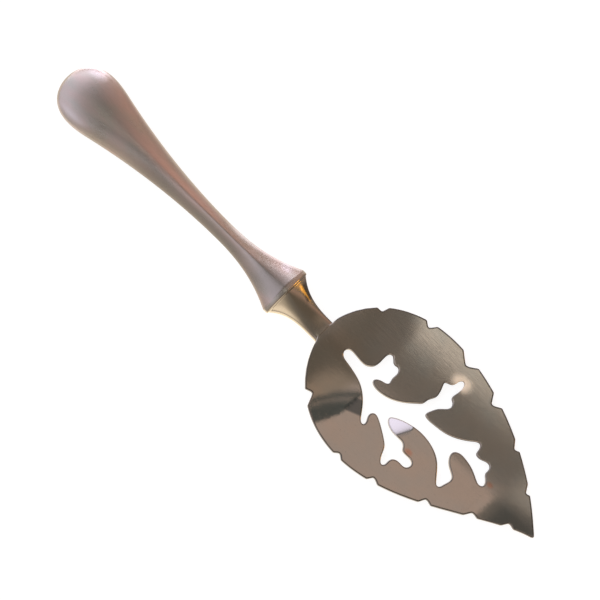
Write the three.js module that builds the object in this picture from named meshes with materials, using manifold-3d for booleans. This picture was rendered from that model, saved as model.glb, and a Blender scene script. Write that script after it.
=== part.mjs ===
import * as THREE from "three";
import { mergeVertices } from "three/addons/utils/BufferGeometryUtils.js";
import Module from "manifold-3d";

// Absinthe spoon with a hollow handle, a forged bolster and a pierced leaf. Millimetres, +Z up.
// It lies face up. X runs along it from the round end of the handle to the tip of the leaf.
// Right and left are as seen from above with the handle at the top: right is +Y.

const wasm = await Module();
wasm.setup();
const { clamp, lerp, smoothstep } = THREE.MathUtils;

// Handle: two half shells from the round end to the mouth, soldered along a side seam
const handleLength = 78.8;
const endLength = 15;
const endWidth = 15.3;
const endDepth = 7.6;
const waistFromMouth = 21.8;
const waistWidth = 5.4;
const waistDepth = 5.3;
const mouthWidth = 14.8;
const mouthDepth = 8.4;
const mouthHeight = 4.3;
const shellWall = 0.8;
const seamGap = 0.05;

// How the handle's width grows away from the waist, and how its end rounds off: a fullness
// of 2 makes an ellipse, and a depth power below 1 keeps the end deeper than it is wide
const taperPower = 1.93;
const flarePower = 2.35;
const endFullness = 2.2;
const endDepthPower = 0.9;
const endCapAngle = 0.075;

// Roundness of a section: 1 is a lozenge with straight sides, 2 is an ellipse
const endRoundness = 1.9;
const waistRoundness = 1.25;
const mouthRoundness = 1.5;
const neckRoundness = 3.2;
const tangRoundness = 2;

// Bolster: a rim, a concave neck, a plug and tang in the handle, and a tongue under the leaf
const bolsterLength = 14.5;
const rimLength = 1.5;
const rimInset = 0.15;
const rimRounding = 0.35;
const neckWidth = 6.6;
const neckDepth = 3.1;
const neckPower = 3.4;
const plugLength = 1.6;
const tangLength = 20;
const tangRootWidth = 3.2;
const tangTipWidth = 1.8;
const tongueLength = 5.2;
const tongueTipWidth = 4.2;
const tongueTipDepth = 0.55;
const jointGap = 0.05;

// Leaf: a sheet that is flat where the sugar sits and lifts at its root, flanks and tip
const leafLength = 76.7;
const leafWidth = 43.2;
const leafThickness = 1.5;
const flatWidth = 17;
const flankLift = 1.5;
const rootLift = 2.2;
const rootLiftLength = 19;
const tipLift = 1.6;
const tipLiftLength = 17;

// Leaf outline: powers that round its root and draw in its tip, and the midrib's side sweep
const rootPower = 0.56;
const tipPower = 1.08;
const midribOffset = 1.05;
const tipSweep = 29.5;
const tipSweepPower = 4.15;
const tipStraight = 0.6;

// Notches in the leaf's edge: where each starts, is deepest and ends, in hundredths
// of the leaf's length, and its depth in hundredths of the leaf's width
const rightNotches = [
  [7.6, 9.7, 10.6, 3.3],
  [22.5, 24.7, 26.7, 3.5],
  [38.4, 42.7, 46.5, 4.9],
  [55.9, 58.1, 61.5, 4.7],
  [72.0, 74.2, 76.0, 2.8],
  [85.6, 87.3, 88.8, 2.6]
];
const leftNotches = [
  [9.7, 12.4, 14.2, 5.4],
  [31.5, 33.2, 35.1, 2.4],
  [45.7, 47.1, 49.7, 3.0],
  [63.4, 64.7, 67.3, 3.3],
  [77.3, 79.0, 81.5, 3.0],
  [88.8, 90.3, 92.7, 2.8]
];

// The soft corners of a notch: how far down each flank they lie, and how deep they are there
const notchEntry = { along: 0.8, deep: 0.86 };
const notchExit = { along: 0.3, deep: 0.8 };

// The pierced branch, drawn from the head of its stem up the right side and down the left:
// places in hundredths of the leaf's length, and of its width to the right of the handle's line
const piercedBranch = {
  stemHead: [[11.2, -2.2], [10.0, 0.7], [11.1, 3.8]],
  firstRightTwig: [
    [15.0, 3.7], [18.6, 3.8], [20.8, 6.9], [21.4, 11.8], [21.4, 18.1], [22.6, 20.1], [23.9, 18.4],
    [25.2, 16.3], [27.0, 17.1], [28.2, 14.5], [28.0, 9.8], [28.6, 6.1], [27.6, 4.7], [25.3, 3.7]
  ],
  firstRightTongue: [[23.7, 0.7], [25.2, -1.4], [28.7, -1.6], [32.9, 0.4], [36.7, 4.4], [40.1, 9.8]],
  secondRightTwig: [
    [41.5, 12.1], [41.7, 15.9], [43.2, 20.8], [42.0, 28.0], [41.5, 30.3], [43.0, 31.5],
    [44.4, 32.7], [44.9, 37.1], [46.1, 39.0], [47.3, 36.5], [47.2, 30.9], [46.8, 26.4],
    [48.4, 25.1], [49.2, 22.3], [48.3, 19.5], [46.3, 16.2], [45.1, 12.2]
  ],
  secondRightTongue: [[44.4, 8.4], [45.6, 7.3], [49.5, 7.6], [54.1, 8.9], [58.0, 11.7], [61.5, 15.7]],
  leader: [
    [63.3, 18.3], [64.7, 19.2], [65.7, 16.7], [66.0, 12.7], [68.3, 12.3], [70.6, 14.0],
    [72.2, 13.7], [73.0, 11.2], [72.7, 8.4], [74.6, 5.4], [75.4, 2.1], [74.2, 0.4], [72.0, 1.8],
    [68.7, 4.6], [64.9, 6.1]
  ],
  thirdLeftTongue: [[61.8, 6.1], [60.0, 3.8], [60.2, 0.3], [62.1, -3.7], [64.7, -6.2]],
  thirdLeftTwig: [
    [66.1, -8.3], [66.0, -11.3], [65.4, -14.1], [65.1, -16.9], [64.2, -18.1], [63.2, -16.7],
    [61.2, -12.3], [58.7, -7.4], [55.6, -4.0], [51.5, -1.9], [46.9, -1.5], [42.4, -3.0],
    [38.9, -5.4]
  ],
  secondLeftTongue: [[36.5, -8.5], [37.2, -10.8], [39.8, -13.1], [43.1, -13.5], [45.7, -13.5]],
  secondLeftTwig: [
    [46.9, -15.5], [47.5, -17.4], [49.6, -17.6], [51.5, -17.6], [53.0, -18.9], [52.8, -22.4],
    [51.7, -23.9], [49.1, -23.7], [47.1, -25.1], [46.5, -27.9], [46.7, -30.7], [45.8, -32.5],
    [44.7, -31.2], [43.5, -27.5], [42.5, -23.3], [40.5, -20.3], [37.1, -16.4], [34.4, -13.7]
  ],
  firstLeftTongue: [[32.3, -12.7], [31.0, -14.6], [31.2, -17.6]],
  firstLeftTwig: [
    [32.2, -20.6], [31.9, -22.9], [30.7, -22.5], [29.3, -19.3], [27.2, -14.2], [24.6, -9.6],
    [21.4, -6.1], [17.5, -4.1], [13.8, -3.0]
  ]
};

// Fineness of the facets
const sectionSides = 32;
const outsideRings = { end: 10, length: 28 };
const insideRings = { end: 6, length: 18 };
const neckRings = 14;
const tongueRings = 5;
const sheetCell = 2.4;
const edgeStep = 1.1;
const rootCrowding = 2;
const stepsPerPoint = 2;

const waist = handleLength - waistFromMouth;
const leafStart = handleLength + bolsterLength;

function solidFrom(geometry) {
  geometry.deleteAttribute("normal");
  geometry.deleteAttribute("uv");
  const merged = mergeVertices(geometry);
  return new wasm.Manifold(new wasm.Mesh({
    numProp: 3,
    vertProperties: new Float32Array(merged.attributes.position.array),
    triVerts: new Uint32Array(merged.index.array)
  }));
}

function geometryFrom(solid) {
  const mesh = solid.getMesh();
  const geometry = new THREE.BufferGeometry();
  geometry.setAttribute("position", new THREE.BufferAttribute(mesh.vertProperties, 3));
  geometry.setIndex(new THREE.BufferAttribute(mesh.triVerts, 1));
  geometry.computeVertexNormals();
  return geometry;
}

// A section of a loft stands square to X, with its middle at a height above the table
function section(x, halfWidth, halfDepth, height, roundness) {
  return { x, halfWidth, halfDepth, height, roundness };
}

// A loft starts as a capped cylinder whose rings take the sections in turn.
// side is +1 for the upper half above the seam, -1 for the lower half and 0 for the whole.
function loft(sections, side = 0) {
  const rings = sections.length - 1;
  const geometry = new THREE.CylinderGeometry(1, 1, 1, sectionSides, rings);
  const places = geometry.attributes.position;
  const rounded = (value, roundness) => Math.sign(value) * Math.abs(value) ** (2 / roundness);
  for (let i = 0; i < places.count; i += 1) {
    const [right, along, up] = [-places.getZ(i), 0.5 - places.getY(i), places.getX(i)];
    const ring = sections[Math.round(along * rings)];
    const isCapCentre = Math.hypot(right, up) < 0.5;
    const isSeam = side !== 0 && up * side < 1e-6 && !isCapCentre;
    const y = isCapCentre ? 0 : ring.halfWidth * rounded(right, ring.roundness);
    const crown = isCapCentre ? side / 2 : rounded(up, ring.roundness);
    const z = isSeam ? side * seamGap / 2 : ring.halfDepth * crown;
    places.setXYZ(i, ring.x, y, ring.height + z);
  }
  return solidFrom(geometry);
}

// Half sizes and roundness of the handle, with its taper run on through its round end
// and its flare run on past its mouth
function handleShape(x) {
  const nearEnd = x < waist;
  const share = nearEnd
    ? ((waist - x) / (waist - endLength)) ** taperPower
    : ((x - waist) / waistFromMouth) ** flarePower;
  const deepening = nearEnd ? smoothstep(waist - x, 0, waist - endLength) : share;
  return {
    halfWidth: lerp(waistWidth, nearEnd ? endWidth : mouthWidth, share) / 2,
    halfDepth: lerp(waistDepth, nearEnd ? endDepth : mouthDepth, deepening) / 2,
    roundness: lerp(waistRoundness, nearEnd ? endRoundness : mouthRoundness, Math.min(share, 1))
  };
}

// The handle's rings, set in by a wall or a clearance and run past its mouth,
// closer together in the round end and where the handle flares
function handleRings(inset, pastMouth, { end, length }) {
  const rings = [];
  for (let i = 0; i < end; i += 1) {
    const angle = lerp(endCapAngle, Math.PI / 2, i / end);
    const x = endLength - (endLength - inset) * Math.cos(angle);
    const rounding = Math.sqrt(1 - Math.cos(angle) ** endFullness);
    const { halfWidth, halfDepth, roundness } = handleShape(x);
    rings.push({
      x,
      halfWidth: (halfWidth - inset) * rounding,
      halfDepth: (halfDepth - inset) * rounding ** endDepthPower,
      roundness
    });
  }
  for (let i = 0; i <= length; i += 1) {
    const x = lerp(endLength, handleLength + pastMouth, Math.sin(Math.PI / 2 * i / length));
    const { halfWidth, halfDepth, roundness } = handleShape(x);
    rings.push({ x, halfWidth: halfWidth - inset, halfDepth: halfDepth - inset, roundness });
  }
  return rings;
}

// The handle slopes down from its mouth until its back touches what the spoon lies on
function slopeToTable() {
  const toTheWaist = handleRings(0, 0, outsideRings).filter(({ x }) => x < waist);
  const slopes = toTheWaist.map(({ x, halfDepth }) => (mouthHeight - halfDepth) / (handleLength - x));
  return Math.min(...slopes);
}

const handleSlope = slopeToTable();

function handleHeight(x) {
  return mouthHeight - handleSlope * (handleLength - x);
}

function handleSections(inset, pastMouth, rings) {
  return handleRings(inset, pastMouth, rings).map((ring) => ({ ...ring, height: handleHeight(ring.x) }));
}

function handleShell(side) {
  const outside = loft(handleSections(0, 0, outsideRings), side);
  const hollow = loft(handleSections(shellWall, shellWall, insideRings));
  return outside.subtract(hollow);
}

// The tang follows the handle's slope, so it lies along the middle of the hollow
function tang(clearance) {
  const tip = handleLength - tangLength - clearance;
  const root = handleLength + rimLength / 2;
  return loft([0, 0.5, 1].map((share) => {
    const x = lerp(tip, root, share);
    const radius = lerp(tangTipWidth, tangRootWidth, share) / 2 + clearance;
    return section(x, radius, radius, handleHeight(x), tangRoundness);
  }));
}

// The filling stops short of the plug, so what would fill the mouth is cut away
function handleFilling() {
  const cutLength = plugLength + jointGap + 2 * shellWall;
  const cut = new THREE.BoxGeometry(cutLength, mouthWidth, mouthDepth);
  cut.translate(handleLength - plugLength - jointGap + cutLength / 2, 0, mouthHeight);
  const core = loft(handleSections(shellWall + jointGap, shellWall, insideRings));
  return core.subtract(solidFrom(cut)).subtract(tang(jointGap));
}

// The plug fills the handle's mouth with the same section as the hollow, less a clearance
function plug() {
  const places = [handleLength - plugLength, handleLength, handleLength + rimLength / 2];
  const inset = shellWall + jointGap;
  return loft(places.map((x) => {
    const { halfWidth, halfDepth, roundness } = handleShape(x);
    return section(x, halfWidth - inset, halfDepth - inset, handleHeight(x), roundness);
  }));
}

// Half the leaf's width at a share of its length: widest where the two powers balance
function leafHalfWidth(share) {
  const widest = rootPower / (rootPower + tipPower);
  const most = widest ** rootPower * (1 - widest) ** tipPower;
  return leafWidth / 2 * share ** rootPower * (1 - share) ** tipPower / most;
}

function midrib(share) {
  return (midribOffset + tipSweep * share ** tipSweepPower) * (1 - share);
}

// The leaf's root is the place where it is as wide as the neck
function findRoot() {
  const step = 1e-4;
  let share = step;
  while (leafHalfWidth(share) < neckWidth / 2) {
    share += step;
  }
  return share;
}

const rootShare = findRoot();
const leafRoot = leafStart + leafLength * rootShare;

// A point of the leaf's edge, or inside it by a share of the leaf's width
function leafEdge(share, side, depth = 0) {
  const halfWidth = leafHalfWidth(share) - leafWidth * depth;
  return new THREE.Vector2(leafStart + leafLength * share, midrib(share) + side * halfWidth);
}

// A smooth stretch of edge between two notches
function lobe(start, end, side, crowding = 1) {
  const steps = Math.ceil((end - start) * leafLength / edgeStep);
  const points = [];
  for (let i = 0; i <= steps; i += 1) {
    points.push(leafEdge(lerp(start, end, (i / steps) ** crowding), side));
  }
  return points;
}

// One side of the leaf from its root towards its tip: lobes between soft V notches
function leafSide(notches, side) {
  const points = [];
  let start = rootShare + jointGap / leafLength;
  for (const notch of notches) {
    const [entry, deepest, exit, depth] = notch.map((value) => value / 100);
    points.push(...lobe(start, entry, side, points.length ? 1 : rootCrowding));
    points.push(leafEdge(lerp(entry, deepest, notchEntry.along), side, depth * notchEntry.deep));
    points.push(leafEdge(deepest, side, depth));
    points.push(leafEdge(lerp(deepest, exit, notchExit.along), side, depth * notchExit.deep));
    start = exit;
  }
  return [...points, ...lobe(start, 1 - tipStraight / leafLength, side)];
}

function leafOutline() {
  const tip = leafEdge(1, 1);
  return new THREE.Shape([...leafSide(rightNotches, 1), tip, ...leafSide(leftNotches, -1).reverse()]);
}

function branchOutline() {
  const drawn = Object.values(piercedBranch).flat().map(([along, across]) => (
    new THREE.Vector3(leafStart + leafLength * along / 100, leafWidth * across / 100, 0)
  ));
  const curve = new THREE.CatmullRomCurve3(drawn, true, "centripetal");
  const points = curve.getPoints(drawn.length * stepsPerPoint).slice(0, -1);
  return new THREE.Shape(points.map((point) => new THREE.Vector2(point.x, point.y)));
}

// Height of the leaf's underside: flat in the middle, lifted at the root, flanks and tip
function leafUnderside(x, y) {
  const pastRoot = clamp((x - leafRoot) / rootLiftLength, 0, 1);
  const pastFlat = Math.max(Math.abs(y) - flatWidth / 2, 0) / (leafWidth / 2 - flatWidth / 2);
  const intoTip = Math.max(x - leafStart - leafLength + tipLiftLength, 0) / tipLiftLength;
  const root = rootLift * (1 + Math.cos(Math.PI * pastRoot)) / 2;
  const flank = flankLift * pastFlat ** 2 * smoothstep(pastRoot, 0, 1);
  return root + flank + tipLift * intoTip ** 2;
}

// A sheet from the leaf's root to past its tip, between two heights above the underside
function leafSheet(lower, upper) {
  const length = leafStart + leafLength + sheetCell - leafRoot;
  const halfWidth = leafWidth / 2 + midribOffset + sheetCell;
  const cellsAcross = 2 * Math.ceil(halfWidth / sheetCell);
  const geometry = new THREE.BoxGeometry(1, 1, 1, Math.ceil(length / sheetCell), cellsAcross, 1);
  const places = geometry.attributes.position;
  for (let i = 0; i < places.count; i += 1) {
    const x = leafRoot + length * (places.getX(i) + 0.5);
    const y = 2 * halfWidth * places.getY(i);
    places.setXYZ(i, x, y, leafUnderside(x, y) + (places.getZ(i) > 0 ? upper : lower));
  }
  return solidFrom(geometry);
}

function upright(outline) {
  const reach = leafThickness + rootLift + flankLift + tipLift;
  const geometry = new THREE.ExtrudeGeometry(outline, { depth: 3 * reach, bevelEnabled: false });
  geometry.translate(0, 0, -reach);
  return solidFrom(geometry);
}

function leafBlade() {
  const sheet = leafSheet(0, leafThickness);
  return sheet.intersect(upright(leafOutline())).subtract(upright(branchOutline()));
}

// Rim and neck run down from the handle's mouth until the neck's top is level with the leaf's
function neckSections() {
  const start = handleLength + jointGap;
  const width = mouthWidth / 2 - rimInset;
  const depth = mouthDepth / 2 - rimInset;
  const rim = (x, inset) => section(x, width - inset, depth - inset, mouthHeight, mouthRoundness);
  const rootHeight = leafUnderside(leafRoot, 0) + leafThickness - neckDepth / 2;
  const sections = [
    rim(start, rimRounding),
    rim(start + rimRounding, 0),
    rim(start + rimLength - rimRounding, 0)
  ];
  for (let i = 0; i <= neckRings; i += 1) {
    const share = i / neckRings;
    const flare = (1 - share) ** neckPower;
    sections.push(section(
      lerp(start + rimLength, leafRoot, share),
      lerp(neckWidth / 2, width - rimRounding, flare),
      lerp(neckDepth / 2, depth - rimRounding, flare),
      lerp(mouthHeight, rootHeight, smoothstep(share, 0, 1)),
      lerp(mouthRoundness, neckRoundness, share)
    ));
  }
  return sections;
}

// The tongue thins and narrows under the leaf, which lies on it
function tongueSections() {
  const sections = [];
  for (let i = 1; i <= tongueRings; i += 1) {
    const share = i / tongueRings;
    const x = leafRoot + tongueLength * share;
    const halfWidth = lerp(tongueTipWidth, neckWidth, Math.sqrt(1 - share ** 2)) / 2;
    const depth = lerp(neckDepth - leafThickness, tongueTipDepth, share) + leafThickness / 2;
    const height = leafUnderside(x, 0) + leafThickness / 2 - depth / 2;
    sections.push(section(x, halfWidth, depth / 2, height, neckRoundness));
  }
  return sections;
}

function bolster() {
  const leafSeat = leafSheet(-jointGap, 2 * leafThickness);
  const body = loft([...neckSections(), ...tongueSections()]);
  return body.add(plug()).add(tang(0)).subtract(leafSeat);
}

function finish(color, roughness, metalness = 1) {
  return new THREE.MeshStandardMaterial({ color, roughness, metalness });
}

const pieces = {
  handle_front_shell: [handleShell(1), finish(0xa8998f, 0.45)],
  handle_back_shell: [handleShell(-1), finish(0xa8998f, 0.45)],
  handle_filling: [handleFilling(), finish(0x2b211b, 0.8, 0)],
  bolster_and_tang: [bolster(), finish(0x9a8c74, 0.15)],
  leaf_blade: [leafBlade(), finish(0x8f8375, 0.3)]
};

const spoon = new THREE.Group();
for (const [name, [solid, material]] of Object.entries(pieces)) {
  const mesh = new THREE.Mesh(geometryFrom(solid), material);
  mesh.name = name;
  spoon.add(mesh);
}

// The origin is under the middle of the spoon, on the surface that it lies on
const box = new THREE.Box3().setFromObject(spoon);
const middle = box.getCenter(new THREE.Vector3());
spoon.position.set(-middle.x, -middle.y, -box.min.z);

export default spoon;
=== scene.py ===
import math

import bmesh
import bpy
from mathutils import Matrix, Vector


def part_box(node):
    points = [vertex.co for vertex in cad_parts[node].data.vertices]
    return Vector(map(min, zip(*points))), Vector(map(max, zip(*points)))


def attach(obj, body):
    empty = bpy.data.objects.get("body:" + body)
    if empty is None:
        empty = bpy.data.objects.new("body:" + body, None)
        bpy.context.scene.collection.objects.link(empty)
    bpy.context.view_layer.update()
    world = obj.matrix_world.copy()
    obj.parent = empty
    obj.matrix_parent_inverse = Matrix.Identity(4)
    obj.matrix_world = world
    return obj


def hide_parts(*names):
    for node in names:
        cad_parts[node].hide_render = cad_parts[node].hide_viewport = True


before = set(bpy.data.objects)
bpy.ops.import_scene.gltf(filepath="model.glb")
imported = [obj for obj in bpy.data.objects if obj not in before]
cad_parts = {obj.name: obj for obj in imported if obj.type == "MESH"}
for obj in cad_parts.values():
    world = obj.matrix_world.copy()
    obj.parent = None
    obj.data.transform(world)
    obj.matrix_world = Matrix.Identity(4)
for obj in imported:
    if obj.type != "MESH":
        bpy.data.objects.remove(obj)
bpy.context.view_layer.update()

mm = 1000  # pieces are drawn in millimetres and brought to metres when they are finished
sameSpot = 1e-4  # millimetres within which vertices are one
onPlane = 0.01  # millimetres within which something lies on a plane

frontLow, frontHigh = (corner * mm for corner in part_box("handle_front_shell"))
leafLow, leafHigh = (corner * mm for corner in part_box("leaf_blade"))
axisY = (frontLow.y + frontHigh.y) / 2  # the line that handle, bolster and neck share
endX = frontLow.x
mouthX = frontHigh.x
rootX = leafLow.x
tipX = leafHigh.x
leafLength = 76.7
leafStart = tipX - leafLength


def lerp(a, b, share):
    return a + (b - a) * share


def smooth(share):
    share = max(0, min(1, share))
    return share * share * (3 - 2 * share)


def sectionPoint(station, angle):
    # a superellipse walked by the direction it faces, set in by the radius of its soft edges
    x, halfWidth, halfDepth, height, roundness, radius = station
    radius = min(radius, halfWidth / 2, halfDepth / 2)
    wide, deep = halfWidth - radius, halfDepth - radius
    right, up = math.cos(angle), math.sin(angle)
    side = (wide * abs(right)) ** (1 / (roundness - 1))
    crown = (deep * abs(up)) ** (1 / (roundness - 1))
    size = (side ** roundness + crown ** roundness) ** (1 / roundness) or 1
    y = axisY + math.copysign(wide * side / size, right) + radius * right
    z = height + math.copysign(deep * crown / size, up) + radius * up
    return x, y, z


def loft(bm, stations, sides=96):
    # a grid whose rows take the stations in turn, closed along its side and at its ends
    first, last = stations[0], stations[-1]
    stations = [(first[0], 0, 0, *first[3:]), *stations, (last[0], 0, 0, *last[3:])]
    rows = len(stations) - 1
    made = bmesh.ops.create_grid(bm, x_segments=rows, y_segments=sides, size=0.5)
    for vert in made["verts"]:
        station = stations[round((vert.co.x + 0.5) * rows)]
        vert.co = sectionPoint(station, 2 * math.pi * (vert.co.y + 0.5))
    bmesh.ops.remove_doubles(bm, verts=made["verts"], dist=sameSpot)
    bmesh.ops.recalc_face_normals(bm, faces=bm.faces)


def finishPiece(bm, name, node, material):
    bmesh.ops.scale(bm, vec=(1 / mm,) * 3, verts=bm.verts)
    mesh = bpy.data.meshes.new(name)
    bm.to_mesh(mesh)
    bm.free()
    mesh.materials.append(material)
    for face in mesh.polygons:
        face.use_smooth = True
    piece = bpy.data.objects.new(name, mesh)
    bpy.context.scene.collection.objects.link(piece)
    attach(piece, "root")
    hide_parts(node)
    return piece


class Wire:
    # a value in a node tree, on which sums can be written
    def __init__(self, tree, socket):
        self.tree = tree
        self.socket = socket

    def __add__(self, other):
        return self.tree.math("ADD", self, other)

    def __sub__(self, other):
        return self.tree.math("SUBTRACT", self, other)

    def __rsub__(self, other):
        return self.tree.math("SUBTRACT", other, self)

    def __mul__(self, other):
        return self.tree.math("MULTIPLY", self, other)

    def __truediv__(self, other):
        return self.tree.math("DIVIDE", self, other)

    __radd__ = __add__
    __rmul__ = __mul__


class Tree:
    # the nodes of one material or of the world
    def __init__(self, owner):
        owner.use_nodes = True
        self.tree = owner.node_tree
        self.tree.nodes.clear()

    def node(self, kind, settings={}, inputs={}, output=0):
        made = self.tree.nodes.new(kind)
        for name, setting in settings.items():
            setattr(made, name, setting)
        for key, value in inputs.items():
            if isinstance(value, Wire):
                self.tree.links.new(value.socket, made.inputs[key])
            else:
                made.inputs[key].default_value = value
        return Wire(self, made.outputs[output]) if made.outputs else None

    def math(self, operation, first, second):
        return self.node("ShaderNodeMath", {"operation": operation}, {0: first, 1: second})

    def vectorMath(self, operation, first, second=(0, 0, 0), output=0):
        settings = {"operation": operation}
        return self.node("ShaderNodeVectorMath", settings, {0: first, 1: second}, output)

    def step(self, value, low, high):  # 0 at low, 1 at high, soft in between
        settings = {"interpolation_type": "SMOOTHSTEP"}
        return self.node("ShaderNodeMapRange", settings, {0: value, 1: low, 2: high})

    def band(self, value, low, high, softness):  # 1 between low and high
        rising = self.step(value, low - softness / 2, low + softness / 2)
        return rising * self.step(value, high + softness / 2, high - softness / 2)

    def mix(self, share, first, second):
        colors = {6: first, 7: second}  # the node's sockets for two colors
        colors = {key: color if isinstance(color, Wire) else (*color, 1) for key, color in colors.items()}
        return self.node("ShaderNodeMix", {"data_type": "RGBA"}, {0: share, **colors}, output=2)

    def places(self):  # object coordinates in millimetres, with x from the leaf's start
        coordinates = self.node("ShaderNodeTexCoord", output=3)
        settings = {"operation": "MULTIPLY_ADD"}
        shift = (-leafStart, -axisY, 0)
        return self.node("ShaderNodeVectorMath", settings, {0: coordinates, 1: (mm,) * 3, 2: shift})

    def parts(self, vector):
        return [self.node("ShaderNodeSeparateXYZ", {}, {0: vector}, output) for output in range(3)]

    def distance(self, places, centre, radii):  # 1 on an ellipsoid's surface
        scaled = self.vectorMath("DIVIDE", self.vectorMath("SUBTRACT", places, centre), radii)
        return self.vectorMath("LENGTH", scaled, output=1)

    def noise(self, places, stretch, detail=2.0):
        inputs = {"Vector": self.vectorMath("MULTIPLY", places, stretch), "Scale": 1.0, "Detail": detail}
        return self.node("ShaderNodeTexNoise", {}, inputs)

    def bump(self, height, depth, strength=1.0):
        inputs = {"Strength": strength, "Distance": depth / mm, "Height": height}
        return self.node("ShaderNodeBump", {}, inputs)

    def surface(self, inputs):
        shader = self.node("ShaderNodeBsdfPrincipled", {}, inputs)
        self.node("ShaderNodeOutputMaterial", {}, {0: shader})

    def metal(self, color, roughness, normal, metallic=1.0):
        inputs = {"Base Color": color, "Metallic": metallic, "Roughness": roughness, "Normal": normal}
        self.surface(inputs)


print("materials")
satinLook = {
    "plate": (0.44, 0.4, 0.355), "warmPlate": (0.5, 0.4, 0.36), "grain": (0.34, 0.3, 0.27),
    "shaftSideShade": (0.29, 0.26, 0.23), "endSidesHighlight": (0.68, 0.61, 0.6), "mouthShade": (0.3, 0.265, 0.235),
    "glint": (0.58, 0.53, 0.54), "ridgeHighlight": (0.66, 0.475, 0.415),
}
polishedLook = {
    "plate": (0.43, 0.37, 0.3), "tarnish": (0.36, 0.31, 0.255), "lines": (0.28, 0.24, 0.19),
    "flank": (0.1, 0.085, 0.07), "satinOverRim": 0.9,
}
leafLook = {
    "plate": (0.42, 0.385, 0.345), "warmPlate": (0.45, 0.385, 0.33), "lines": (0.26, 0.24, 0.21),
    "scratches": (0.6, 0.56, 0.52), "twigEndHighlight": (0.95, 0.8, 0.62), "orangeReflection": (0.5, 0.22, 0.13),
    "rim": (0.1, 0.085, 0.075), "darkReflection": (0.1, 0.11, 0.11), "tongue": (0.6, 0.56, 0.56),
    "orangeReflections": ((58.8, 2.2, 0), (37.8, -6.6, 0)), "anyDepth": 1000,
}
cementLook = {"pits": (0.01, 0.008, 0.006), "grains": (0.05, 0.038, 0.03)}


def satinMaterial():
    material = bpy.data.materials.new("satin silver plate")
    tree = Tree(material)
    places = tree.places()
    x, y, z = tree.parts(places)
    grain = tree.noise(places, (0.35, 9, 9), 3.0)
    cloud = tree.noise(places, (0.12, 0.3, 0.3), 3.0)
    speck = tree.noise(places, (7, 7, 7), 2.0)
    color = tree.mix(tree.step(cloud, 0.3, 0.7), satinLook["plate"], satinLook["warmPlate"])
    color = tree.mix(tree.step(grain, 0.35, 0.75) * 0.3, color, satinLook["grain"])
    # painted reflections and shade that the close surroundings cast: a darker shaft side, paler sides at
    # the end, a darker mouth, a glint on the flare and a lighter ridge
    shaftSideShade = tree.band(x, -64, -26, 12) * tree.step(y, -0.2, -1.6)
    color = tree.mix(shaftSideShade * 0.65, color, satinLook["shaftSideShade"])
    leftOfEnd = tree.step(x, -76, -83) * tree.step(y, -5.3, -7)
    rightOfEnd = tree.step(x, -84, -88) * tree.step(y, 3.6, 6.2)
    color = tree.mix(leftOfEnd * 0.5 + rightOfEnd * 0.85, color, satinLook["endSidesHighlight"])
    mouthShade = tree.step(x, -28, -20) * tree.band(y, -4, 3, 3)
    color = tree.mix(mouthShade * 0.8, color, satinLook["mouthShade"])
    glint = tree.step(tree.distance(places, (-17.8, 4.5, 6), (2.6, 1.7, 3)), 1, 0.3)
    color = tree.mix(glint * 0.8, color, satinLook["glint"])
    ridgeHighlight = tree.band(y, -0.7, 1.4, 2) * tree.step(x, -76, -64) * tree.step(x, -26, -60)
    color = tree.mix(ridgeHighlight * tree.step(z, 5, 6) * 0.8, color, satinLook["ridgeHighlight"])
    roughness = 0.22 + grain * 0.08 + cloud * 0.06
    tree.metal(color, roughness, tree.bump(grain + speck * 0.4, 0.02))
    return material


def polishedMaterial():
    material = bpy.data.materials.new("polished silver plate")
    tree = Tree(material)
    places = tree.places()
    x, y = tree.parts(places)[:2]
    cloud = tree.noise(places, (0.25, 0.4, 0.4), 3.0)
    lines = tree.noise(places, (0.5, 8, 8), 3.0)
    tarnish = tree.step(x + cloud * 6, -9, 1)
    satinEnd = mouthX + polishedLook["satinOverRim"] - leafStart
    satinRim = tree.step(x, satinEnd + 0.15, satinEnd - 0.25)
    color = tree.mix(tarnish, polishedLook["plate"], polishedLook["tarnish"])
    color = tree.mix(tree.step(lines, 0.5, 0.8) * 0.25, color, polishedLook["lines"])
    # painted shade: the right flank of the neck is darkened, cutting short the amber lamp's reflection
    flank = tree.step(y + x * 0.376, -1.4, -0.6) * tree.band(x, -11.9, -7.8, 1.2)
    color = tree.mix(flank * 0.8, color, polishedLook["flank"])
    color = tree.mix(satinRim, color, satinLook["plate"])
    roughness = 0.1 + cloud * 0.06 + lines * 0.04 + tarnish * 0.08 + satinRim * 0.12
    tree.metal(color, roughness, tree.bump(cloud + lines * 0.05, 0.03))
    return material


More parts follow.
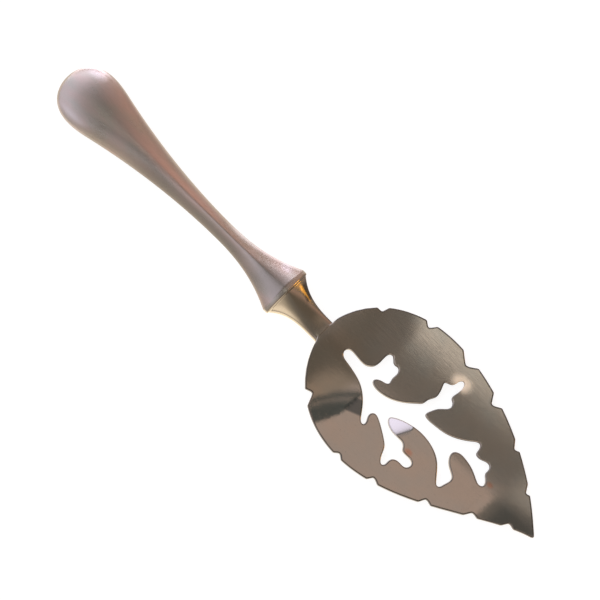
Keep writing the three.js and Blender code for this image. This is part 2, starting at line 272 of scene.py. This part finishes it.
def leafMaterial():
    material = bpy.data.materials.new("brushed silver plate")
    tree = Tree(material)
    places = tree.places()
    x, y = tree.parts(places)[:2]
    rim = tree.node("ShaderNodeAttribute", {"attribute_name": "rim"}, output=2)
    cloud = tree.noise(places, (0.09, 0.12, 0.1), 3.0)
    lines = tree.noise(places, (0.3, 9, 1), 4.0)
    fineLines = tree.noise(places, (0.5, 24, 1), 2.0)
    scratches = tree.step(tree.noise(places, (1.1, 5.5, 1), 5.0), 0.66, 0.74)
    brushed = tree.step(y, -1, 2)
    color = tree.mix(tree.step(cloud, 0.35, 0.7), leafLook["warmPlate"], leafLook["plate"])
    color = tree.mix(tree.step(lines, 0.42, 0.62) * (0.08 + brushed * 0.16), color, leafLook["lines"])
    color = tree.mix(scratches * 0.3, color, leafLook["scratches"])
    # a painted highlight at the end of the second right twig, and the two painted orange reflections
    fromTwigEndHighlight = tree.distance(places, (35.4, 15.9, 0), (3.4, 2.4, leafLook["anyDepth"]))
    twigEndHighlight = tree.step(fromTwigEndHighlight + cloud, 1.7, 0.8)
    color = tree.mix(twigEndHighlight, color, leafLook["twigEndHighlight"])
    # painted reflections: two small orange spots
    for place in leafLook["orangeReflections"]:
        fromOrangeReflection = tree.distance(places, place, (1.4, 1, leafLook["anyDepth"]))
        color = tree.mix(tree.step(fromOrangeReflection + cloud * 1.5, 1.9, 0.9) * 0.6, color, leafLook["orangeReflection"])
    # painted shade along the sheet's edges
    color = tree.mix(rim * (1 - twigEndHighlight) * 0.75, color, leafLook["rim"])
    # the painted dark reflection across the left flank, with a paler slip that lies level in the camera's
    # view
    darkReflection = tree.band(x * 0.375 - y * 0.927, 12.5, 16.6, 0.8) * tree.band(x, 18.2, 23.3, 1.6)
    photoDown, photoRight = x * 0.7035 - y * 0.7107, x * 0.7107 + y * 0.7035
    slip = tree.band(photoDown, 17.7, 18.3, 0.6) * tree.band(photoRight, 3.6, 8, 1.2)
    color = tree.mix(darkReflection * (0.9 - slip * 0.6), color, leafLook["darkReflection"])
    # the second left tongue is bent down towards its tip and shows the lilac light; its bent part also gets
    # a painted highlight
    onTongue = tree.step(tree.distance(places, (30, -3.2, 0), (4.8, 3.6, leafLook["anyDepth"])), 1.1, 0.9)
    pastBend = 35.7 - x + y * 0.5
    bend = tree.math("MAXIMUM", pastBend, 0)
    tongue = onTongue * tree.step(pastBend, -1.6, 1.6)
    color = tree.mix(tongue * (1 - rim), color, leafLook["tongue"])
    roughness = 0.045 + tongue * 0.27 + cloud * 0.03 + brushed * (0.04 + lines * 0.06) + scratches * 0.1
    relief = cloud * 3 + (0.3 + brushed * 0.5) * (lines + fineLines * 0.5) + scratches * 0.3
    relief = relief - onTongue * bend * bend / (bend + 1.2) * 96
    tree.metal(color, roughness, tree.bump(relief, 0.004), 1 - twigEndHighlight * 0.85)
    return material


def cementMaterial():
    material = bpy.data.materials.new("cutler's cement")
    tree = Tree(material)
    grit = tree.noise(tree.places(), (3, 3, 3), 6.0)
    color = tree.mix(grit, cementLook["pits"], cementLook["grains"])
    normal = tree.bump(grit, 0.1, strength=0.6)
    tree.surface({"Base Color": color, "Roughness": 0.6 + grit * 0.3, "Normal": normal})
    return material


satin = satinMaterial()
polished = polishedMaterial()
brushed = leafMaterial()
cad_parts["handle_filling"].data.materials[0] = cementMaterial()  # it keeps its CAD mesh


print("handle")
handle = {
    "endLength": 15, "endWidth": 15.3, "endDepth": 7.56, "waistFromMouth": 21.8, "waistWidth": 5.4,
    "waistDepth": 5.3, "mouthWidth": 14.8, "mouthDepth": 8.4, "mouthHeight": 4.3, "taperPower": 1.93,
    "flarePower": 2.35, "endFullness": 2.2, "endDepthPower": 0.9, "endRoundness": 1.9,
    "waistRoundness": 1.25, "mouthRoundness": 1.5, "edgeRadius": 0.3, "wall": 0.8, "seamGap": 0.05,
    "tableGap": 0.02, "endSteps": 40, "lengthSteps": 130,
    "bevelWidth": 0.06, "bevelSegments": 2, "bevelAngle": 60,
}
handleWaistX = mouthX - handle["waistFromMouth"]
handleTaperX = endX + handle["endLength"]
handleRise = handle["mouthHeight"] - handle["endDepth"] / 2 - handle["tableGap"]
handleSlope = handleRise / (mouthX - handleTaperX)


def handleHeight(x):
    return handle["mouthHeight"] - handleSlope * (mouthX - x)


def handleStation(x, inset=0, rounding=1):
    if x < handleWaistX:
        end = "end"
        along = (handleWaistX - x) / (handleWaistX - handleTaperX)
        share = along ** handle["taperPower"]
        deepening = smooth(along)
    else:
        end = "mouth"
        share = deepening = ((x - handleWaistX) / handle["waistFromMouth"]) ** handle["flarePower"]
    halfWidth = lerp(handle["waistWidth"], handle[end + "Width"], share) / 2 - inset
    halfDepth = lerp(handle["waistDepth"], handle[end + "Depth"], deepening) / 2 - inset
    roundness = lerp(handle["waistRoundness"], handle[end + "Roundness"], min(share, 1))
    deep = rounding ** handle["endDepthPower"]
    return x, halfWidth * rounding, halfDepth * deep, handleHeight(x), roundness, handle["edgeRadius"]


def handleStations():
    stations = []
    for i in range(handle["endSteps"]):
        left = math.cos(math.pi / 2 * i / handle["endSteps"])
        rounding = math.sqrt(1 - left ** handle["endFullness"])
        stations.append(handleStation(handleTaperX - handle["endLength"] * left, rounding=rounding))
    for i in range(handle["lengthSteps"] + 1):
        stations.append(handleStation(lerp(handleTaperX, mouthX, i / handle["lengthSteps"])))
    return stations


def closesMouth(face):
    return abs(face.normal.x) > 0.99 and face.calc_center_median().x > mouthX - onPlane


def handleShell(name, node, side):
    bm = bmesh.new()
    loft(bm, handleStations())
    bmesh.ops.delete(bm, geom=[face for face in bm.faces if closesMouth(face)], context="FACES")
    across = Vector((-handleSlope, 0, 1)) * side
    seam = Vector((mouthX, 0, handle["mouthHeight"])) + across * handle["seamGap"] / 2
    everything = [*bm.verts, *bm.edges, *bm.faces]
    bmesh.ops.bisect_plane(bm, geom=everything, plane_co=seam, plane_no=across, clear_inner=True)
    piece = finishPiece(bm, name, node, satin)
    wall = piece.modifiers.new("wall", "SOLIDIFY")
    wall.thickness = handle["wall"] / mm
    wall.offset = -1
    edge = piece.modifiers.new("edge", "BEVEL")
    edge.width = handle["bevelWidth"] / mm
    edge.segments = handle["bevelSegments"]
    edge.limit_method = "ANGLE"
    edge.angle_limit = math.radians(handle["bevelAngle"])


handleShell("front_half_of_handle", "handle_front_shell", 1)
handleShell("back_half_of_handle", "handle_back_shell", -1)


print("leaf")
leaf = {
    "thickness": 1.5, "width": 43.2, "flankLift": 1.5, "flankPower": 1.8, "valley": (15, -1.2, 60, 2.2),
    "rootLift": 2.2, "rootLiftLength": 19, "rootLead": 2, "bow": 1, "tipLift": 1.6, "tipLiftLength": 17,
    "rootOverlap": 0.8, "rootHalfWidth": 2.0, "rimRadius": 0.24, "rimSteps": 4, "holdingInset": 0.2,
    "edgeStep": 0.28, "straightAngle": 1, "smoothings": 1, "moreOnCurves": 4, "tipLength": 2.6,
    "moreOnTip": 14, "cornerLength": 2, "moreOnCorners": 12, "cell": 1.2, "neckReach": (2, 4.4),
    "branchShade": 0.6,
}


def leafUnderside(x, y):
    pastRoot = smooth((x - rootX) / leaf["rootLiftLength"])
    intoTip = max(0, x - tipX + leaf["tipLiftLength"]) / leaf["tipLiftLength"]
    rootShare = (x - rootX + leaf["rootLead"]) / (leaf["rootLiftLength"] + leaf["rootLead"])
    root = leaf["rootLift"] * (1 + math.cos(math.pi * max(0, min(1, rootShare)))) / 2
    start, startY, end, endY = leaf["valley"]  # the lowest line runs slightly askew
    valley = axisY + lerp(startY, endY, (x - leafStart - start) / (end - start))
    flank = leaf["flankLift"] * (abs(y - valley) / (leaf["width"] / 2)) ** leaf["flankPower"] * pastRoot
    bow = leaf["bow"] * max(0, (x - rootX - leaf["rootLiftLength"]) / leafLength) ** 2
    return root + flank + bow + leaf["tipLift"] * intoTip ** 2


def joinedTo(vert):
    found, waiting = {vert}, [vert]
    while waiting:
        nextTo = {other for edge in waiting.pop().link_edges for other in edge.verts} - found
        found |= nextTo
        waiting += nextTo
    return found


def flattenCadLeaf(bm):
    # leaves the CAD leaf's upper outlines, laid flat, as loops of edges
    bm.from_mesh(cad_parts["leaf_blade"].data)
    bmesh.ops.scale(bm, vec=(mm,) * 3, verts=bm.verts)
    bmesh.ops.remove_doubles(bm, verts=bm.verts, dist=sameSpot)
    bm.normal_update()
    below = [face for face in bm.faces if face.normal.z < 0.5]
    bmesh.ops.delete(bm, geom=below, context="FACES")
    inner = [edge for edge in bm.edges if not edge.is_boundary]
    bmesh.ops.delete(bm, geom=inner, context="EDGES_FACES")
    bmesh.ops.delete(bm, geom=[vert for vert in bm.verts if not vert.link_edges], context="VERTS")
    bmesh.ops.scale(bm, vec=(1, 1, 0), verts=bm.verts)
    angle = math.radians(leaf["straightAngle"])
    bmesh.ops.dissolve_limit(bm, angle_limit=angle, verts=bm.verts, edges=bm.edges)


def leafOutlines(bm, rim):
    # curves take the place of the outlines' short straight steps
    flattenCadLeaf(bm)
    steps = {}
    for edge in bm.edges:
        steps.setdefault(round(edge.calc_length() / leaf["edgeStep"]), []).append(edge)
    for count, edges in steps.items():
        if count > 1:
            bmesh.ops.subdivide_edges(bm, edges=edges, cuts=count - 1)
    butting = [vert for vert in bm.verts if vert.co.x < rootX + onPlane]
    root = [vert for vert in butting if abs(vert.co.y - axisY) < leaf["rootHalfWidth"]]
    bmesh.ops.translate(bm, vec=(-leaf["rootOverlap"], 0, 0), verts=root)
    outside = joinedTo(root[0])
    branch = [vert for vert in bm.verts if vert not in outside]
    for vert in branch:
        vert[rim] = 1
    tip = [vert for vert in outside if vert.co.x > tipX - leaf["tipLength"]]
    corners = [vert for vert in outside if vert.co.x < rootX + leaf["cornerLength"] and vert not in root]
    rounds = ((branch, leaf["moreOnCurves"]), (tip, leaf["moreOnTip"]), (corners, leaf["moreOnCorners"]))
    for verts, times in ((bm.verts, leaf["smoothings"]), *rounds):
        for _ in range(times):
            bmesh.ops.smooth_vert(bm, verts=verts, factor=0.5, use_axis_x=True, use_axis_y=True)


def roundRim(bm, faces):
    # steps of a quarter circle from the wall to the face, then a ring that holds the face flat
    radius, steps = leaf["rimRadius"], leaf["rimSteps"]
    for i in range(steps):
        near, far = math.pi / 2 * i / steps, math.pi / 2 * (i + 1) / steps
        inward = radius * (math.cos(near) - math.cos(far))
        upward = radius * (math.sin(far) - math.sin(near))
        bmesh.ops.inset_region(bm, faces=faces, use_boundary=True, thickness=inward, depth=upward)
    bmesh.ops.inset_region(bm, faces=faces, use_boundary=True, thickness=leaf["holdingInset"])
    return {vert for face in faces for vert in face.verts}


def shadeRim(bm, rim, inside):
    # painted shade: the edge is dark, but not at the neck or where the branch's edge faces left
    length, halfWidth = leaf["neckReach"]
    bm.normal_update()
    for vert in bm.verts:
        facesLeft = vert[rim] * smooth((-vert.normal.y - 0.1) / 0.3)
        atNeck = smooth(length - (vert.co.x - rootX)) * smooth(halfWidth - abs(vert.co.y - axisY))
        shade = (1 - facesLeft) * (1 - atNeck) * lerp(1, leaf["branchShade"], vert[rim])
        vert[rim] = 0 if vert in inside else shade


def leafBlade():
    bm = bmesh.new()
    rim = bm.verts.layers.float.new("rim")
    leafOutlines(bm, rim)
    bmesh.ops.triangle_fill(bm, use_beauty=True, edges=bm.edges)
    bmesh.ops.recalc_face_normals(bm, faces=bm.faces)
    made = bmesh.ops.extrude_face_region(bm, geom=bm.faces)
    raised = [part for part in made["geom"] if isinstance(part, bmesh.types.BMVert)]
    bmesh.ops.translate(bm, vec=(0, 0, leaf["thickness"] - 2 * leaf["rimRadius"]), verts=raised)
    bmesh.ops.translate(bm, vec=(0, 0, leaf["rimRadius"]), verts=bm.verts)
    bmesh.ops.recalc_face_normals(bm, faces=bm.faces)
    inside = set()
    for up in (1, -1):
        inside |= roundRim(bm, [face for face in bm.faces if face.normal.z * up > 0.9])
    shadeRim(bm, rim, inside)
    # cuts across and along let the sheet bend
    for low, high, normal in ((leafLow.x, leafHigh.x, (1, 0, 0)), (leafLow.y, leafHigh.y, (0, 1, 0))):
        for i in range(1, round((high - low) / leaf["cell"])):
            everything = [*bm.verts, *bm.edges, *bm.faces]
            place = Vector(normal) * (low + i * leaf["cell"])
            bmesh.ops.bisect_plane(bm, geom=everything, plane_co=place, plane_no=normal)
    for vert in bm.verts:
        vert.co.z += leafUnderside(vert.co.x, vert.co.y)
    finishPiece(bm, "pierced_leaf", "leaf_blade", brushed)


leafBlade()


print("bolster")
bolster = {
    "rimLength": 1.5, "rimInset": 0.02, "nearRounding": 0.03, "farRounding": 0.5, "rimSteps": 8,
    "neckWidth": 6.6, "neckDepth": 3.1, "neckPower": 3.4, "neckRoundness": 4.2, "neckStep": 0.05,
    "neckSteps": 60, "plugLength": 1.6, "tangLength": 20, "tangRootWidth": 3.2, "tangTipWidth": 1.8,
    "tangRoundness": 2, "tangSides": 32, "tongueLength": 5.2, "tongueTipWidth": 4.2,
    "tongueTipDepth": 0.55, "tongueSteps": 20, "jointGap": 0.05,
}


def neckStations():
    start = mouthX - bolster["jointGap"]
    near, far = bolster["nearRounding"], bolster["farRounding"]
    width = handle["mouthWidth"] / 2 - bolster["rimInset"]
    depth = handle["mouthDepth"] / 2 - bolster["rimInset"]
    shape = (handle["mouthHeight"], handle["mouthRoundness"], handle["edgeRadius"])
    stations = []
    for x, rounding, turn in ((start + near, near, -1), (start + bolster["rimLength"] - far, far, 1)):
        for i in range(bolster["rimSteps"] + 1):
            angle = math.pi / 2 * (i / bolster["rimSteps"] if turn > 0 else 1 - i / bolster["rimSteps"])
            inset = rounding * (1 - math.cos(angle))
            stations.append((x + turn * rounding * math.sin(angle), width - inset, depth - inset, *shape))
    rootTop = leafUnderside(rootX, axisY) + leaf["thickness"]
    rootHeight = rootTop - bolster["neckDepth"] / 2 + bolster["neckStep"]
    for i in range(1, bolster["neckSteps"] + 1):
        share = i / bolster["neckSteps"]
        flare = (1 - share) ** bolster["neckPower"]
        stations.append((
            lerp(start + bolster["rimLength"], rootX, share),
            lerp(bolster["neckWidth"] / 2, width - far, flare),
            lerp(bolster["neckDepth"] / 2, depth - far, flare),
            lerp(handle["mouthHeight"], rootHeight, smooth(share)),
            lerp(handle["mouthRoundness"], bolster["neckRoundness"], share),
            handle["edgeRadius"]))
    return stations


def tongueStations():
    tipDepth = bolster["tongueTipDepth"] + leaf["thickness"]
    stations = []
    for i in range(1, bolster["tongueSteps"] + 1):
        share = i / bolster["tongueSteps"]
        x = rootX + bolster["tongueLength"] * share
        halfWidth = lerp(bolster["tongueTipWidth"], bolster["neckWidth"], math.sqrt(1 - share ** 2)) / 2
        depth = lerp(bolster["neckDepth"], tipDepth, share) - leaf["thickness"] / 2
        height = leafUnderside(x, axisY) + leaf["thickness"] / 2 - depth / 2
        stations.append((x, halfWidth, depth / 2, height, bolster["neckRoundness"], handle["edgeRadius"]))
    return stations


def plugStations():
    inset = handle["wall"] + bolster["jointGap"]
    inside = handleStation(mouthX, inset)
    inRim = mouthX + bolster["rimLength"] / 2
    return [handleStation(mouthX - bolster["plugLength"], inset), (inRim, *inside[1:])]


def tangStations():
    tip, root = mouthX - bolster["tangLength"], mouthX + bolster["rimLength"] / 2
    stations = []
    for x, width in ((tip, bolster["tangTipWidth"]), (root, bolster["tangRootWidth"])):
        stations.append((x, width / 2, width / 2, handleHeight(x), bolster["tangRoundness"], 0))
    return stations


def bolsterPiece():
    bm = bmesh.new()
    loft(bm, [*neckStations(), *tongueStations()])
    loft(bm, plugStations())
    loft(bm, tangStations(), bolster["tangSides"])
    finishPiece(bm, "forged_bolster", "bolster_and_tang", polished)


bolsterPiece()


print("floor and surroundings")
paper = {
    "halfSize": 2, "base": (0.25, 0.25, 0.25), "seen": (0.88, 0.88, 0.88), "left": (0.95, 0.87, 0.74),
    "right": (0.5, 0.36, 0.31), "besideNeck": (0.16, 0.13, 0.11), "besideFlare": (2, 1.9, 2.1),
    "leftOfNeck": (2, 1.85, 1.5), "pastEnd": (2.2, 2.1, 2.3), "farLeft": (0.42, 0.38, 0.32),
}


def floorMaterial():
    # the camera sees white paper; in the metal's reflections the paper glows with painted light and shade,
    # laid out as the room that lay round it
    material = bpy.data.materials.new("white paper")
    tree = Tree(material)
    x, y = tree.parts(tree.places())[:2]
    seenByCamera = tree.node("ShaderNodeLightPath")
    glow = tree.mix(tree.step(y, 10, 30), paper["left"], paper["right"])
    glow = tree.mix(tree.step(x, -14, -9) * tree.step(y, 1, 4), glow, paper["besideNeck"])
    glow = tree.mix(tree.band(x, -36, -18, 6) * tree.band(y, 9, 24, 5), glow, paper["besideFlare"])
    glow = tree.mix(tree.band(x, -16, 2, 4) * tree.band(y, -24, -3, 3), glow, paper["leftOfNeck"])
    glow = tree.mix(tree.step(x, -88, -94) * tree.step(y, 3, 9), glow, paper["pastEnd"])
    glow = tree.mix(tree.step(y + tree.step(x, -5, 10) * 12, -14, -34), glow, paper["farLeft"])
    glow = tree.mix(seenByCamera, glow, paper["seen"])
    base = (*paper["base"], 1)
    tree.surface({"Base Color": base, "Roughness": 0.9, "Emission Color": glow, "Emission Strength": 1.0})
    return material


def floorPiece():
    bm = bmesh.new()
    bmesh.ops.create_grid(bm, x_segments=1, y_segments=1, size=paper["halfSize"])
    mesh = bpy.data.meshes.new("floor")
    bm.to_mesh(mesh)
    bm.free()
    mesh.materials.append(floorMaterial())
    floor = bpy.data.objects.new("floor", mesh)
    bpy.context.scene.collection.objects.link(floor)


floorPiece()


room = {
    "ceiling": (0.285, 0.266, 0.243), "ceilingAhead": (0.225, 0.195, 0.16), "strip": (1.4, 1.37, 1.27),
    "paleBeam": (0.62, 0.6, 0.56), "darkBeam": (0.15, 0.155, 0.15), "leftWall": (0.5, 0.44, 0.4),
    "lowLeft": (0.52, 0.48, 0.45), "leftBehind": (0.74, 0.7, 0.72), "leftAhead": (0.95, 0.86, 0.72),
    "rightWall": (0.68, 0.48, 0.4), "rightAhead": (0.37, 0.31, 0.25), "rightBehind": (0.44, 0.34, 0.3),
    "blind": (0.73, 0.61, 0.55), "blindAhead": (0.51, 0.42, 0.34), "bars": (0.14, 0.155, 0.15),
    "lilac": (1.08, 1.1, 1.28), "lowLilac": (2.2, 2.15, 2.5), "doorway": (3.6, 3.4, 3.8),
    "lamp": (1.85, 1.7, 1.45), "amberLamp": (6, 3, 0.5), "backdrop": (1, 1, 1),
}
degree = math.pi / 180


def ceilingColor(tree, across, along):
    strip = tree.band(across, -8, -0.9, 1.6) * tree.band(along, -6, 2.5, 3)  # on the leaf's right rim
    color = tree.mix(strip, room["ceiling"], room["strip"])
    color = tree.mix(tree.step(along, 2, 10) * tree.step(across, 5, 9), color, room["ceilingAhead"])
    paleBeam = tree.band(across, 3, 9, 1.5) * tree.step(along, -1, -8)
    color = tree.mix(paleBeam, color, room["paleBeam"])
    darkBeam = tree.step(along, -3, -8.5) * tree.step(across, 9.2, 11.2)
    return tree.mix(darkBeam, color, room["darkBeam"])


def wallColor(tree, across, along, ceiling):
    color = tree.mix(tree.step(across, -22, -42), ceiling, room["leftWall"])
    color = tree.mix(tree.step(across, -58, -80), color, room["lowLeft"])
    color = tree.mix(tree.band(across, -76, -35, 20) * tree.step(along, -2, -14), color, room["leftBehind"])
    color = tree.mix(tree.step(across, 0, -45) * tree.step(along, 28, 40), color, room["leftAhead"])
    color = tree.mix(tree.step(across, 20, 44), color, room["rightWall"])
    return tree.mix(tree.step(across, 38, 50) * tree.step(along, 30, 45), color, room["rightAhead"])


def windowColor(tree, across, along):
    # a lit blind, with bars that have one slit between them
    blind = tree.mix(tree.step(along, 6, 14), room["blind"], room["blindAhead"])
    lowerEdge = tree.math("MAXIMUM", across - 16.2, 0.9)
    bars = tree.step(across - along * 0.2, 11.8, 12.4) * tree.step(along - lowerEdge, -0.3, 0.5)
    slit = tree.band(across - along * 0.156, 13.95, 14.5, 0.3) * tree.band(along, 2.6, 11, 1.5)
    bars = bars * tree.step(across + along, 28.6, 27.9) * (1 - slit * 0.85)
    return tree.mix(bars, blind, room["bars"])


def inWindow(tree, across, along):
    nearEdge = tree.step(across - tree.step(along, 2, 4.5) * 2.5, 8.6, 9.6)
    return nearEdge * tree.step(across, 30, 26) * tree.band(along, -2.6, 24, 1.6)


def inLilac(tree, across, along):
    sideways = tree.math("MINIMUM", across, 0) * 0.6 + tree.math("MAXIMUM", across - 25, 0) * 0.2
    leftReach = tree.step(across, -62, -46) * tree.step(along, 3, -7)
    reach = tree.math("MAXIMUM", tree.step(across - along, -10, 10), leftReach)
    return tree.step(along + sideways, -18, -38) * reach * tree.step(across, 76, 64)


def inLamp(tree, direction, azimuth, elevation, outer, inner):
    turn, rise = azimuth * degree, elevation * degree
    centre = (math.cos(rise) * math.cos(turn), math.cos(rise) * math.sin(turn), math.sin(rise))
    nearness = tree.vectorMath("DOT_PRODUCT", direction, centre, output=1)
    return tree.step(nearness, math.cos(outer * degree), math.cos(inner * degree))


def surroundings():
    # the photographer's room by direction, as the metal mirrors it; the camera sees a white backdrop
    world = bpy.data.worlds.new("surroundings")
    bpy.context.scene.world = world
    tree = Tree(world)
    direction = tree.node("ShaderNodeTexCoord")
    x, y, z = tree.parts(direction)
    across = tree.math("ARCTAN2", y, z) / degree  # how far from overhead towards +Y
    along = tree.math("ARCTAN2", x, z) / degree  # and towards +X
    azimuth = tree.math("ARCTAN2", y, x) / degree
    color = wallColor(tree, across, along, ceilingColor(tree, across, along))
    color = tree.mix(inWindow(tree, across, along), color, windowColor(tree, across, along))
    rightBehind = tree.band(across, 34, 56, 14) * tree.step(along, 4, -5)
    color = tree.mix(rightBehind, color, room["rightBehind"])
    lilac = tree.mix(tree.step(across, 10, 66), room["lilac"], room["lowLilac"])
    color = tree.mix(inLilac(tree, across, along), color, lilac)
    doorway = tree.band(azimuth, 108.6, 113, 2) * tree.band(z, -0.5, 0.44, 0.14)
    color = tree.mix(doorway, color, room["doorway"])
    color = tree.mix(inLamp(tree, direction, -38, 14, 28, 9), color, room["lamp"])
    color = tree.mix(inLamp(tree, direction, 47, 16.5, 11, 7), color, room["amberLamp"])
    seenByCamera = tree.node("ShaderNodeLightPath")
    color = tree.mix(seenByCamera, color, room["backdrop"])
    background = tree.node("ShaderNodeBackground", {}, {0: color, 1: 1.0})
    tree.node("ShaderNodeOutputWorld", {}, {0: background})


surroundings()


print("camera")
view = {
    "towardsTip": 2, "towardsLeft": 10, "axisTurn": (0.7107, -0.7035), "distance": 1000, "height": 3.0,
    "photoSide": 600, "pixel": 0.2584, "neckPixel": (322.68, 330.3), "sensor": 36, "farthest": 10,
}


def photographersCamera():
    camera = bpy.data.objects.new("camera", bpy.data.cameras.new("camera"))
    bpy.context.scene.collection.objects.link(camera)
    bpy.context.scene.camera = camera
    towardsTip, towardsLeft = math.radians(view["towardsTip"]), math.radians(view["towardsLeft"])
    back = Vector((math.tan(towardsTip), -math.tan(towardsLeft), 1)).normalized()
    along = (Vector((1, 0, 0)) - back * back.x).normalized()
    across = back.cross(along)
    cos, sin = view["axisTurn"]
    right = along * cos - across * sin
    up = along * sin + across * cos
    shift = [view["pixel"] * (place - view["photoSide"] / 2) for place in view["neckPixel"]]
    neck = Vector((leafStart, axisY, view["height"]))
    centre = neck - right * shift[0] + up * shift[1]
    place = centre + back * view["distance"]
    turned = Matrix((right, up, back)).transposed().to_4x4()
    camera.matrix_world = Matrix.Translation(place / mm) @ turned
    camera.data.sensor_width = view["sensor"]
    camera.data.lens = view["sensor"] * view["distance"] / (view["photoSide"] * view["pixel"])
    camera.data.clip_end = view["farthest"]


photographersCamera()
bpy.context.scene.view_settings.view_transform = "Standard"
